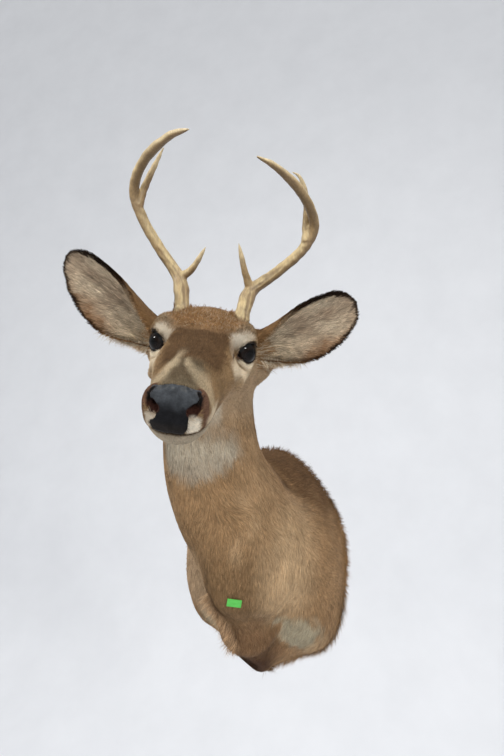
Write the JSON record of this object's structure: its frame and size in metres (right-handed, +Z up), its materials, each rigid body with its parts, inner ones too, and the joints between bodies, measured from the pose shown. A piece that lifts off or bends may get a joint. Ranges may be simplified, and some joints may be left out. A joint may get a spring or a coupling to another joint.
{
  "type": "taxidermy shoulder mount",
  "caption": "White-tailed deer shoulder mount with antlers: head turned slightly and lowered, upright neck, chest and shoulders cut flat on a wooden back board.",
  "frame": {"origin": "on the wall plane, at the rear face of the back board, on the chest's middle line", "axes": "+Z up, +Y into the wall (the deer reaches out to -Y), +X towards the deer's left"},
  "size_m": [0.3518, 0.5116, 0.6827],
  "materials": {
    "fur": "matte short deer hair, tan with white throat and brown crown",
    "nose": "satin slate black",
    "eye": "glossy, nearly black, opaque",
    "antler": "satin bone, honey brown with pale tips",
    "board": "plain unfinished plywood",
    "hanger": "zinc plated",
    "tag": "blank bright green sticker"
  },
  "bodies": {
    "root": {"antler_left_base": "antler", "antler_left_beam": "antler", "antler_left_brow_tine": "antler", "antler_left_second_tine": "antler", "antler_left_tip": "antler", "antler_right_base": "antler", "antler_right_beam": "antler", "antler_right_brow_tine": "antler", "antler_right_second_tine": "antler", "antler_right_tip": "antler", "back_board": "board", "ear_left": "fur", "ear_right": "fur", "eye_left": "eye", "eye_right": "eye", "foreleg_left": "fur", "foreleg_right": "fur", "hanger": "hanger", "head": "fur", "lower_jaw": "fur", "neck": "fur", "nose_pad": "nose", "price_tag": "tag", "trunk": "fur"}
  },
  "joints": []
}
